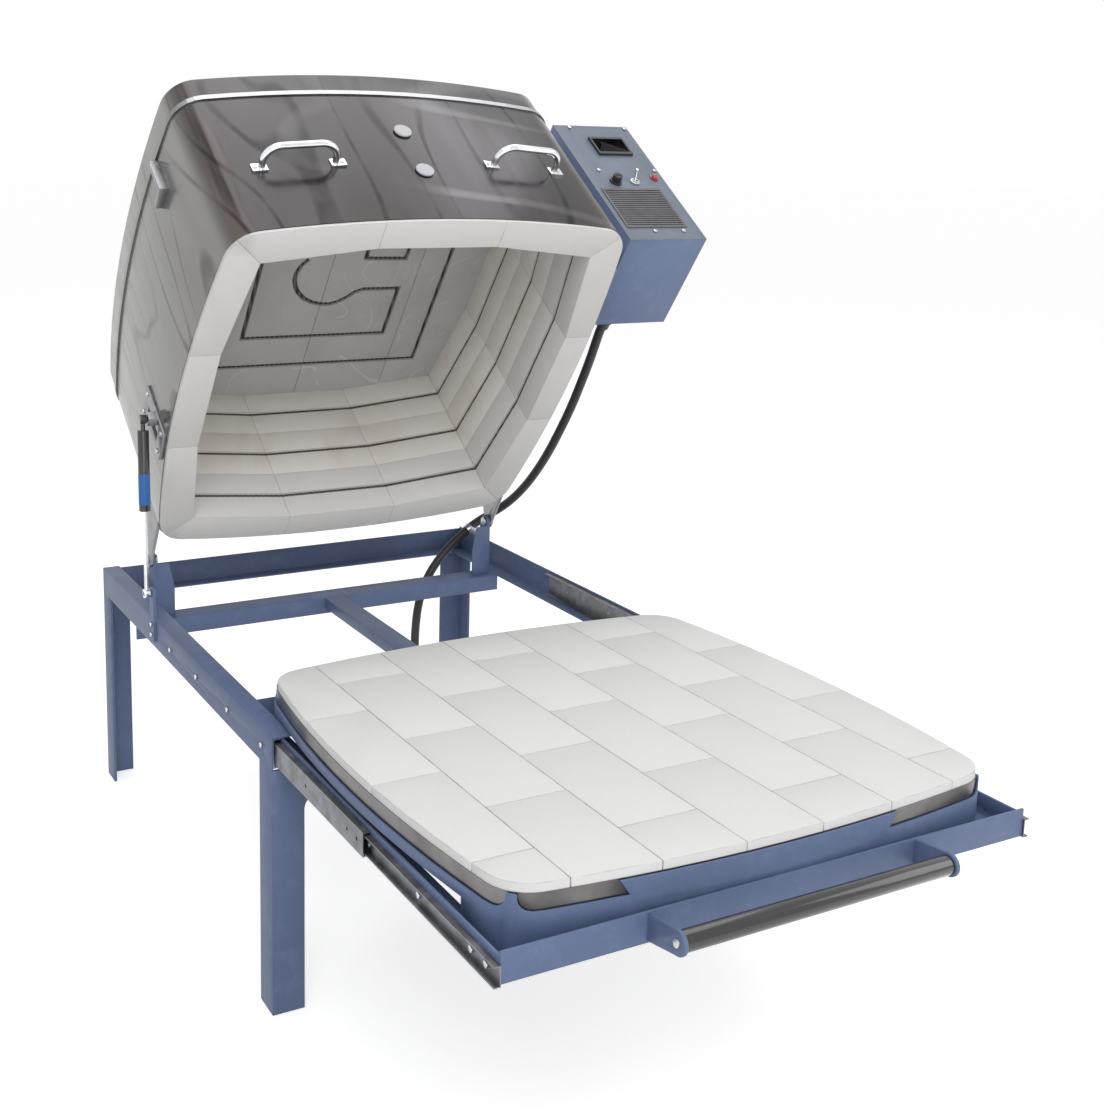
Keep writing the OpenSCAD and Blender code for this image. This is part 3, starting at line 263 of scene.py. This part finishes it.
def polishedJacket(name):
    look = jacketLook
    paint = Paint(name)
    back = -layout["open"]
    side = paint.outward(*look["sides"])
    height = paint.axis(paint.spot((1, 1, 1), back, inBell.translation), 2)
    wall = paint.ramp((height - look["roof"]) * 200, [(0, 1), (1, 0)])
    corner = paint.outward(*look["corners"]) * (1 - side) * wall
    sway = paint.noise(1.6, 3, 0.5, paint.spot((1, 1, 0.5), back), 1.2)
    broad = paint.ramp(sway, [(0.35, 0), (0.65, 1)])
    # the front much darker than the flanks, each in broad patches of two tones: painted reflection
    base = paint.mix(side, paint.mix(broad, *look["front"]), paint.mix(broad, *look["flank"]))
    streak = paint.ramp(paint.noise(30, 4, 0.6, paint.spot((1, 1, 0.07), back)),
                        [(0.38, 0), (0.62, 1)])
    # warm and dark streaks at the corners: painted reflection
    base = paint.mix(corner * streak * 0.8, base, look["corner"][1])
    base = paint.mix(corner * (1 - streak) * 0.6, base, look["corner"][0])
    # the thin dark wavy lines called grain here are painted reflection, fainter on the roof
    grain = (paint.contours((1, 1, 0.24), back, 4.2, 66, 0.86)
             * paint.ramp(paint.noise(9, 3), [(0.34, 0.2), (0.6, 1)]) * (wall * 0.85 + 0.15))
    base = paint.mix(grain * 0.75, base, paint.mix(side, *look["lines"]))
    # pale swirls: a painted highlight
    glintSwirls = (paint.contours((0.8, 0.8, 1.9), back, 1.9, 15, 0.93)
             * paint.ramp(sway, [(0.40, 0), (0.6, 1)]))
    base = paint.mix(glintSwirls * 0.45, base, paint.mix(side, *look["glints"]))
    waves = paint.bump(sway + grain * 0.05, 0.08, 0.003)
    return paint.put(Base_Color=base, Metallic=0.85, Roughness=0.17 + streak * 0.08,
                     Normal=waves).material


# reach from the middle plane in metres, and the trim's front paler than its flanks: a painted
# reflection
seamLook = {"sides": (0.340, 0.362), "front": (0.42, 0.425, 0.44),
            "flank": (0.25, 0.245, 0.24), "dull": (0.22, 0.22, 0.23)}


def seamMetal(name):
    paint = Paint(name)
    side = paint.outward(*seamLook["sides"])
    base = paint.mix(side, seamLook["front"], seamLook["flank"])
    base = paint.mix(paint.noise(60, 3) * 0.4, base, seamLook["dull"])
    return paint.put(Base_Color=base, Metallic=1.0,
                     Roughness=0.22 + paint.noise(30, 3) * 0.1).material


# oxidised coil wire: stripes that cross a bar whichever way it runs, with the gaps between the
# turns darkened as painted shade
def coilWire(name, shadedGap, crest):
    paint = Paint(name)
    turns = paint.node("ShaderNodeTexWave", {"wave_type": "BANDS", "bands_direction": "DIAGONAL"},
                       {"Vector": paint.where, "Scale": 62.0, "Distortion": 0.0}, "Fac")
    return paint.put(Base_Color=paint.mix(turns, shadedGap, crest), Metallic=0.6, Roughness=0.6,
                     Normal=paint.bump(turns, 0.8, 0.002)).material


def plainMetal(name, colour, roughness, grit=0.08, shade=0.8, scale=40, metallic=1.0):
    paint = Paint(name)
    cloud = paint.noise(scale, 4, 0.6)
    base = paint.mix(paint.ramp(cloud, [(0.35, 0), (0.65, 1)]), darker(colour, shade), colour)
    # paler edges: a painted highlight
    base = paint.mix(paint.edges(0.0010) * 0.45, base, paler(colour, 1.5, 0.1))
    return paint.put(Base_Color=base, Metallic=metallic, Roughness=roughness + cloud * grit,
                     Normal=paint.bump(paint.noise(300, 2), 0.05, 0.0003)).material


def moulded(name, colour, roughness, grain=500, strength=0.08, coat=0.0):
    paint = Paint(name)
    cloud = paint.noise(18, 3)
    base = paint.mix(cloud, darker(colour, 0.8), paler(colour, 1.25, 0.004))
    return paint.put(Base_Color=base, Roughness=roughness + cloud * 0.08, Coat_Weight=coat,
                     Normal=paint.bump(paint.noise(grain, 2), strength, 0.0003)).material


def glowing(name, colour, glow):
    paint = Paint(name)
    base = paint.mix(paint.noise(60, 2), darker(colour, 0.7), colour)
    return paint.put(Base_Color=base, Roughness=0.12, Coat_Weight=0.6, Coat_Roughness=0.05,
                     Emission_Color=colour, Emission_Strength=glow).material


finishes = {
    "frame": bluePaint("frameBlue", (0.108, 0.150, 0.268), rubbed=0.5),
    "box": bluePaint("boxBlue", (0.148, 0.198, 0.335), rubbed=0.35),
    "face": bluePaint("panelBlue", (0.150, 0.178, 0.225), rubbed=0.30),
    "jacket": polishedJacket("polishedJacket"),
    "trim": seamMetal("seamMetal"),
    "plate": plainMetal("plateSteel", (0.34, 0.34, 0.35), roughness=0.36),
    "band": plainMetal("bandSteel", (0.20, 0.19, 0.19), roughness=0.26, shade=0.55, scale=9),
    "slide": plainMetal("slideSteel", (0.240, 0.245, 0.260), roughness=0.34, grit=0.18,
                        shade=0.55),
    "zinc": plainMetal("zincPlate", (0.60, 0.61, 0.63), roughness=0.30),
    "chrome": plainMetal("chrome", (0.84, 0.86, 0.89), roughness=0.09, grit=0.05),
    "rim": firebrick("rimBrick", (0.700, 0.692, 0.672), (0.64, 0.61, 0.56), pits=0.55,
                     stains=0.35, tones=0.18, joint=0.45, smear=0.5),
    "hearth": firebrick("hearthBrick", (0.690, 0.690, 0.685), (0.63, 0.63, 0.62), pits=0.30,
                        stains=0.30, tones=0.10, joint=1.0),
    "cavity": firebrick("cavityBrick", (0.785, 0.755, 0.715), (0.60, 0.51, 0.41), pits=0.40,
                        stains=0.45, tones=0.35, joint=0.45),
    "slab": firebrick("roofSlab", (0.510, 0.508, 0.500), (0.36, 0.355, 0.345), pits=0.30,
                      stains=0.6, tones=0.2, joint=0.5, cracks=0.45),
    "blanket": firebrick("wallBlanket", (0.735, 0.725, 0.700), (0.64, 0.61, 0.56), pits=0.2,
                         stains=0.2, tones=0, joint=0),
    "wire": coilWire("coilWire", (0.030, 0.026, 0.024), (0.17, 0.15, 0.14)),
    "grip": moulded("gripBlack", (0.012, 0.012, 0.014), 0.16, grain=300, strength=0.04, coat=0.6),
    "black": moulded("blackPlastic", (0.020, 0.020, 0.023), 0.42),
    "cord": moulded("cordJacket", (0.018, 0.018, 0.021), 0.48, grain=700, strength=0.15),
    "enamel": moulded("strutEnamel", (0.016, 0.016, 0.018), 0.22, grain=300, strength=0.03,
                      coat=0.5),
    "label": moulded("bareLabel", (0.012, 0.105, 0.350), 0.35),
    "glass": moulded("displayGlass", (0.014, 0.018, 0.030), 0.08, grain=300, strength=0.01,
                     coat=0.8),
    "lamp": glowing("redLens", (0.36, 0.025, 0.030), 0.10),
    "louvre": plainMetal("louvre", (0.135, 0.132, 0.142), roughness=0.45, metallic=0.4),
    "plug": firebrick("plugCeramic", (0.50, 0.50, 0.53), (0.42, 0.42, 0.44), pits=0.2,
                      stains=0.3, tones=0, joint=0.2),
}
print("finishes ready:", len(finishes))


def alone(obj):
    bpy.ops.object.select_all(action="DESELECT")
    obj.select_set(True)
    bpy.context.view_layer.objects.active = obj


# names a finished piece, gives it its finish and says what it rides on and stands for
def settle(obj, name, body, finish, slot, *replaced, smooth=32):
    obj.name = name
    obj.data.name = name
    obj.data.materials.clear()
    obj.data.materials.append(finishes[finish])
    alone(obj)
    bpy.ops.object.shade_smooth_by_angle(angle=math.radians(smooth))
    if body:
        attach(obj, body)
    if replaced:
        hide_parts(*replaced)
    return obj


# rounds the edges of a piece that are sharper than an angle, by a width in millimetres
def bevelled(obj, width, segments, angle=30):
    alone(obj)
    bevel = obj.modifiers.new("soften", "BEVEL")
    bevel.width = width / 1000
    bevel.segments = segments
    bevel.limit_method = "ANGLE"
    bevel.angle_limit = math.radians(angle)
    bevel.use_clamp_overlap = True
    bevel.miter_outer = "MITER_ARC"
    bpy.ops.object.modifier_apply(modifier="soften")


# gives each loose brick of a piece a tone of its own
def islandTones(obj, seed):
    rng = random.Random(seed)
    mesh = obj.data
    group = list(range(len(mesh.vertices)))

    def root(i):
        while group[i] != i:
            group[i] = group[group[i]]
            i = group[i]
        return i

    for edge in mesh.edges:
        a, b = root(edge.vertices[0]), root(edge.vertices[1])
        if a != b:
            group[a] = b
    tones = {}
    values = []
    for i in range(len(mesh.vertices)):
        brick = root(i)
        if brick not in tones:
            tones[brick] = rng.random()
        values.append(tones[brick])
    mesh.attributes.new("tone", "FLOAT", "POINT").data.foreach_set("value", values)


mergeLimits = {"distance": 0.00001, "angle": 0.4}


# a merged copy of a CAD node with softened edges stands for the node
def dressed(node, finish, width, segments=2, tones=None):
    obj = nodes[node].copy()
    obj.data = obj.data.copy()
    bpy.context.scene.collection.objects.link(obj)
    for key in list(obj.keys()):
        if key.startswith("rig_"):
            del obj[key]
    obj.parent = None
    alone(obj)
    bpy.ops.object.mode_set(mode="EDIT")
    bpy.ops.mesh.select_all(action="SELECT")
    bpy.ops.mesh.remove_doubles(threshold=mergeLimits["distance"])
    bpy.ops.mesh.dissolve_limited(angle_limit=math.radians(mergeLimits["angle"]))
    bpy.ops.object.mode_set(mode="OBJECT")
    if width:
        bevelled(obj, width, segments)
    if tones is not None:
        islandTones(obj, tones)
    first, *others = node.split("_")
    name = first + "".join(word.capitalize() for word in others) + "Piece"
    return settle(obj, name, bodyOf[node], finish, slotOf[node], node)


# nodes that share a finish and an edge: the nodes, the finish, the edge in mm, its segments
steelwork = [
    (["legs", "side_rail_left", "side_rail_right", "back_rails", "front_rail", "centre_rail",
      "hinge_posts", "strut_lower_bracket", "cradle_ring", "pan_bearers", "tray_end_bars",
      "tray_side_bars", "pull_ears", "corner_plate"], "frame", 0.7, 2),
    (["hinge_arms", "side_brackets"], "plate", 0.4, 2),
    (["control_box", "box_brackets"], "box", 0.8, 2),
    (["control_panel"], "face", 0.8, 2),
    (["slide_outers", "slide_middle_left", "slide_middle_right", "slide_inners"],
     "slide", 0.35, 1),
    (["hinge_pins", "frame_bolts", "tray_screws", "bell_screws", "switch_body",
      "thermocouple"], "zinc", 0.3, 2),
]
for members, finish, edge, segments in steelwork:
    for node in members:
        dressed(node, finish, edge, segments)
print("stand, tray and slides dressed")

# the finish, the edge in mm, its segments and, for bricks, the seed of their tones
fittings = {
    "hearth_bricks": ("hearth", 1.3, 2, 3), "rim_course": ("rim", 1.5, 3, 5),
    "upper_courses": ("cavity", 1.0, 2, 7), "roof_slabs": ("slab", 1.0, 2, 9),
    "hearth_band": ("band", 0), "pan_plate": ("band", 0.4, 1), "handles": ("chrome", 0.5),
    "pull_grip": ("grip", 1.2, 3), "strut_cylinder": ("enamel", 0.8, 3),
    "strut_rod": ("chrome", 0.3), "louvre_grille": ("louvre", 0.2, 1),
    "display_bezel": ("black", 0.6), "display_window": ("glass", 0.2),
    "fuse_holder": ("black", 0.6), "fuse_cap": ("black", 0.9, 3),
    "toggle_lever": ("chrome", 0.2), "pilot_lamp": ("lamp", 0.3), "relay": ("black", 0.6),
    "cord_gland": ("black", 0.8, 3), "cord_plug": ("black", 2.0, 3),
    "plug_upper": ("plug", 2.0, 4), "plug_lower": ("plug", 2.0, 4),
}
for node, choice in fittings.items():
    dressed(node, *choice)
for node, finish in {"wall_blanket": "blanket", "elements": "wire", "seam_trim": "trim"}.items():
    nodes[node].data.materials.clear()
    nodes[node].data.materials.append(finishes[finish])
print("bricks and fittings dressed")


# the bell's bowed square outline in millimetres, with the points that a smooth sheet needs
def outlinePoints(sideSteps, cornerSteps):
    half, cornerR, sideR = layout["bellHalf"], layout["cornerR"], layout["sideR"]
    sideMid = half - sideR
    cornerMid = (sideMid + math.sqrt(2 * (sideR - cornerR) ** 2 - sideMid * sideMid)) / 2
    meet = math.atan2(cornerMid, cornerMid - sideMid)
    points = []
    for quarter in range(4):
        turn = Matrix.Rotation(quarter * math.pi / 2, 2)
        for i in range(sideSteps + 1):
            t = -meet + 2 * meet * i / sideSteps
            points.append(turn @ Vector((sideMid + sideR * math.cos(t), sideR * math.sin(t))))
        for i in range(1, cornerSteps):
            t = meet + (math.pi / 2 - 2 * meet) * i / cornerSteps
            points.append(turn @ Vector((cornerMid + cornerR * math.cos(t),
                                         cornerMid + cornerR * math.sin(t))))
    return points


jacketSheet = {"bottom": 5, "top": 404.6, "thick": 1.6, "fold": 12, "edge": 5,
               "edgeSegments": 4, "edgeAngle": 60, "sideSteps": 48, "cornerSteps": 16}


# the walls and the roof of the bell as one sheet, folded in under its lower edge
def makeJacket():
    j = jacketSheet
    points = outlinePoints(j["sideSteps"], j["cornerSteps"])
    bpy.ops.mesh.primitive_circle_add(vertices=len(points), radius=1, fill_type="NGON")
    obj = bpy.context.active_object
    for vertex, point in zip(obj.data.vertices, points):
        vertex.co = (point.x / 1000, point.y / 1000, j["top"] / 1000)
    alone(obj)
    bpy.ops.object.mode_set(mode="EDIT")
    bpy.ops.mesh.select_all(action="SELECT")
    bpy.ops.mesh.extrude_region_move(
        TRANSFORM_OT_translate={"value": (0, 0, (j["bottom"] - j["top"]) / 1000)})
    bpy.ops.mesh.inset(thickness=j["thick"] / 1000, depth=0)
    bpy.ops.mesh.extrude_region_move(TRANSFORM_OT_translate={"value": (0, 0, j["fold"] / 1000)})
    bpy.ops.mesh.delete(type="FACE")
    bpy.ops.mesh.select_all(action="SELECT")
    bpy.ops.mesh.normals_make_consistent(inside=False)
    bpy.ops.object.mode_set(mode="OBJECT")
    bevelled(obj, j["edge"], j["edgeSegments"], j["edgeAngle"])
    obj.data.transform(inBell)
    settle(obj, "jacketSheet", "bell", "jacket", "mirror_steel", "jacket", "roof_cover", smooth=30)


makeJacket()

# foot on the stand and head on the bell give the strut's line
strutSleeve = {"foot": (-416.5, 270, 484), "head": (-416.5, 98, 62), "up": 189,
               "radius": 10.25, "length": 55, "thick": 0.3, "sides": 48}


# a bare label sleeve on the strut's cylinder
def makeStrutSleeve():
    s = strutSleeve
    foot = place(*s["foot"])
    along = (bellPoint(*s["head"]) - foot).normalized()
    middle = foot + along * (s["up"] / 1000)
    bpy.ops.mesh.primitive_cylinder_add(vertices=s["sides"], radius=s["radius"] / 1000,
                                        depth=s["length"] / 1000, end_fill_type="NOTHING")
    obj = bpy.context.active_object
    alone(obj)
    turn = along.to_track_quat("Z", "Y").to_matrix().to_4x4()
    obj.data.transform(Matrix.Translation(middle) @ turn)
    wall = obj.modifiers.new("wall", "SOLIDIFY")
    wall.thickness = s["thick"] / 1000
    bpy.ops.object.modifier_apply(modifier="wall")
    settle(obj, "strutLabel", "strut_upper", "label", "strut_black")


makeStrutSleeve()
print("jacket and strut made")

# the supply cord follows the same points as its solid, in millimetres;
# hang and drop are measured from the clip
cordFacts = {
    "diameter": 18, "gland": (462, -73, 65), "bendFrom": (462, -40, 65),
    "bendTo": (385, 500, 486), "clip": (353.5, 501, 466), "clipDir": (-0.8, 0, -0.6),
    "hang": [(112, -284, 402), (114, -249, 346.5), (114.5, -213.5, 291), (112.5, -177, 237),
             (109, -141.5, 186.5), (103.5, -107.5, 142), (96, -77, 105), (86, -50.5, 75.5),
             (73.5, -29, 53), (59, -13.5, 37), (42.5, -3.5, 24.5), (24.5, 0.5, 14)],
    "drop": [(-33, 0, -24), (-61.5, 0, -50), (-88, 0, -82), (-108, 0, -119),
             (-119.5, 0, -160), (-125, 0, -205), (-126.5, 0, -250)],
    "fallX": 227, "fallZ": (150, 100), "bend": 72, "coilX": 146, "coilR": 124, "runIn": 9,
    "step": 20, "turns": 2, "turnStep": 15, "lift": 18.8, "liftFrom": 600,
}


def upperRoute():
    f = cordFacts
    d = f["diameter"]
    out = inBell.to_3x3() @ Vector((0, 1, 0))
    start = bellPoint(*f["gland"])
    clip = place(*f["clip"])
    way = Vector(f["clipDir"])
    middle = [Vector(p) + Vector(f["clip"]) for p in f["hang"]]
    return ([start, start + out * d / 1000] + [place(*p) for p in middle]
            + [clip - way * d * 0.4 / 1000, clip])


# down from the clip, round a bend to the floor and twice round the coil
def lowerRoute():
    f = cordFacts
    d, bend = f["diameter"], f["bend"]
    clip, way = Vector(f["clip"]), Vector(f["clipDir"])
    points = [clip, clip + way * d] + [clip + Vector(p) for p in f["drop"]]
    points += [Vector((f["fallX"], clip.y, z)) for z in f["fallZ"]]
    for t in range(90, 0, -f["turnStep"]):
        points.append(Vector((f["fallX"] - bend + bend * math.sin(math.radians(t)), clip.y,
                              d / 2 + bend * (1 - math.cos(math.radians(t))))))
    points.append(Vector((f["coilX"] + f["runIn"], clip.y, d / 2)))
    coilY = clip.y - f["coilR"]
    for t in range(0, 360 * f["turns"] + 1, f["turnStep"]):
        r = f["coilR"] - f["step"] * t / 360
        rise = max(0, (t - f["liftFrom"]) / (360 * f["turns"] - f["liftFrom"]))
        points.append(Vector((f["coilX"] - r * math.sin(math.radians(t)),
                              coilY + r * math.cos(math.radians(t)),
                              d / 2 + f["lift"] * (1 - math.cos(math.pi * rise)) / 2)))
    points.append(points[-1] + Vector((-d, 0, 0)))
    return [place(*p) for p in points]


# a smooth curve through all the points
def smoothRoute(points, steps=4):
    finer = []
    for i in range(len(points) - 1):
        p0 = points[i - 1] if i else points[0] * 2 - points[1]
        p1, p2 = points[i], points[i + 1]
        p3 = points[i + 2] if i + 2 < len(points) else p2 * 2 - p1
        for k in range(steps):
            t = k / steps
            finer.append(0.5 * ((2 * p1) + (p2 - p0) * t
                                + (2 * p0 - 5 * p1 + 4 * p2 - p3) * t * t
                                + (3 * p1 - p0 - 3 * p2 + p3) * t ** 3))
    return finer + [points[-1]]


def routeLength(points):
    return sum((b - a).length for a, b in zip(points, points[1:]))


def cordTube(name, points):
    curve = bpy.data.curves.new(name, "CURVE")
    curve.dimensions = "3D"
    curve.bevel_depth = cordFacts["diameter"] / 2000
    curve.bevel_resolution = 6
    curve.use_fill_caps = True
    line = curve.splines.new("POLY")
    line.points.add(len(points) - 1)
    for knot, point in zip(line.points, points):
        knot.co = (*point, 1)
    obj = bpy.data.objects.new(name, curve)
    bpy.context.scene.collection.objects.link(obj)
    alone(obj)
    bpy.ops.object.convert(target="MESH")
    return bpy.context.active_object


def makeCords():
    upper = smoothRoute(upperRoute())
    piece = settle(cordTube("cordUpper", upper), "cordUpper", None, "cord", "cord_rubber",
                   "cord_upper", smooth=40)
    tuple(place(*cordFacts["bendTo"]))
    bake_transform(piece)
    routeLength(upper)
    lower = smoothRoute(lowerRoute())
    piece = settle(cordTube("cordLower", lower), "cordLower", "stand", "cord", "cord_rubber",
                   "cord_lower", "cord_coil", smooth=40)
    routeLength(lower)
    print("cord lengths", round(routeLength(upper), 3), round(routeLength(lower), 3))


makeCords()

# metres; the lift is the floor's own glow towards the camera, and only there and in gloss
studio = {
    "floor": (0.80, 0.80, 0.80), "floorSize": 160, "floorDrop": 0.0005, "lift": 0.56,
    "world": 0.50, "aim": (0, -0.2, 0.6),
    "lamps": {"key": {"at": (-1.8, -3.6, 3.4), "size": 2.6, "power": 92},
              "fill": {"at": (3.2, -2.2, 2.2), "size": 2.4, "power": 34},
              "top": {"at": (0.2, 0.4, 3.6), "size": 2.8, "power": 40},
              "low": {"at": (-1.3, -3.6, 0.6), "size": 2.2, "power": 22}},
}


def makeFloor():
    bpy.ops.mesh.primitive_plane_add(size=studio["floorSize"],
                                     location=(0, 0, -studio["floorDrop"]))
    floor = bpy.context.active_object
    floor.name = "studioFloor"
    paint = Paint("studioFloor")
    camera, gloss = (paint.node("ShaderNodeLightPath", out=ray)
                     for ray in ("Is Camera Ray", "Is Glossy Ray"))
    paint.put(Base_Color=studio["floor"], Roughness=0.9, Specular_IOR_Level=0.1,
              Emission_Color=(1, 1, 1),
              Emission_Strength=camera.of("MAXIMUM", gloss) * studio["lift"])
    floor.data.materials.append(paint.material)


# white to the camera and in gloss, a plain pale light on everything else
def makeWorld():
    world = bpy.data.worlds.new("studio")
    bpy.context.scene.world = world
    world.use_nodes = True
    tree = world.node_tree
    tree.nodes.clear()
    light = tree.nodes.new("ShaderNodeLightPath")
    either = tree.nodes.new("ShaderNodeMath")
    either.operation = "MAXIMUM"
    plain = tree.nodes.new("ShaderNodeBackground")
    seen = tree.nodes.new("ShaderNodeBackground")
    for background, strength in ((plain, studio["world"]), (seen, 1.0)):
        background.inputs[0].default_value = (1, 1, 1, 1)
        background.inputs[1].default_value = strength
    both = tree.nodes.new("ShaderNodeMixShader")
    end = tree.nodes.new("ShaderNodeOutputWorld")
    tree.links.new(light.outputs["Is Camera Ray"], either.inputs[0])
    tree.links.new(light.outputs["Is Glossy Ray"], either.inputs[1])
    tree.links.new(either.outputs[0], both.inputs[0])
    tree.links.new(plain.outputs[0], both.inputs[1])
    tree.links.new(seen.outputs[0], both.inputs[2])
    tree.links.new(both.outputs[0], end.inputs[0])


def makeLamps():
    for name, facts in studio["lamps"].items():
        lamp = bpy.data.lights.new(name, "AREA")
        lamp.size = facts["size"]
        lamp.energy = facts["power"]
        obj = bpy.data.objects.new(name, lamp)
        obj.location = facts["at"]
        towards = Vector(studio["aim"]) - Vector(facts["at"])
        obj.rotation_euler = towards.to_track_quat("-Z", "Y").to_euler()
        bpy.context.scene.collection.objects.link(obj)


# the photograph's viewing angle, with a small picture shift; at is in the kiln's millimetres,
# the angles are in degrees, and the rest is in the photograph's pixels, but for the sensor
view = {"at": (-1083, -2149, 1248), "azimuth": 27.96, "down": 10.0, "roll": 1.0,
        "focal": 1439, "middle": (458.5, 413.8), "frame": (1104, 1113), "sensor": 36}


def makeCamera():
    azimuth, down, roll = (math.radians(view[k]) for k in ("azimuth", "down", "roll"))
    ahead = Vector((math.sin(azimuth) * math.cos(down), math.cos(azimuth) * math.cos(down),
                    -math.sin(down)))
    right = ahead.cross(Vector((0, 0, 1))).normalized()
    up = right.cross(ahead)
    right, up = (math.cos(roll) * right + math.sin(roll) * up,
                 -math.sin(roll) * right + math.cos(roll) * up)
    camera = bpy.data.cameras.new("camera")
    wide, high = view["frame"]
    camera.sensor_fit = "HORIZONTAL"
    camera.sensor_width = view["sensor"]
    camera.lens = view["focal"] / wide * view["sensor"]
    camera.shift_x = (wide / 2 - view["middle"][0]) / wide
    camera.shift_y = -(high / 2 - view["middle"][1]) / wide
    obj = bpy.data.objects.new("camera", camera)
    turn = Matrix((right, up, -ahead)).transposed().to_4x4()
    obj.matrix_world = Matrix.Translation(place(*view["at"])) @ turn
    bpy.context.scene.collection.objects.link(obj)
    bpy.context.scene.camera = obj


makeFloor()
makeWorld()
makeLamps()
makeCamera()
bpy.context.scene.view_settings.view_transform = "Standard"
print("studio ready")
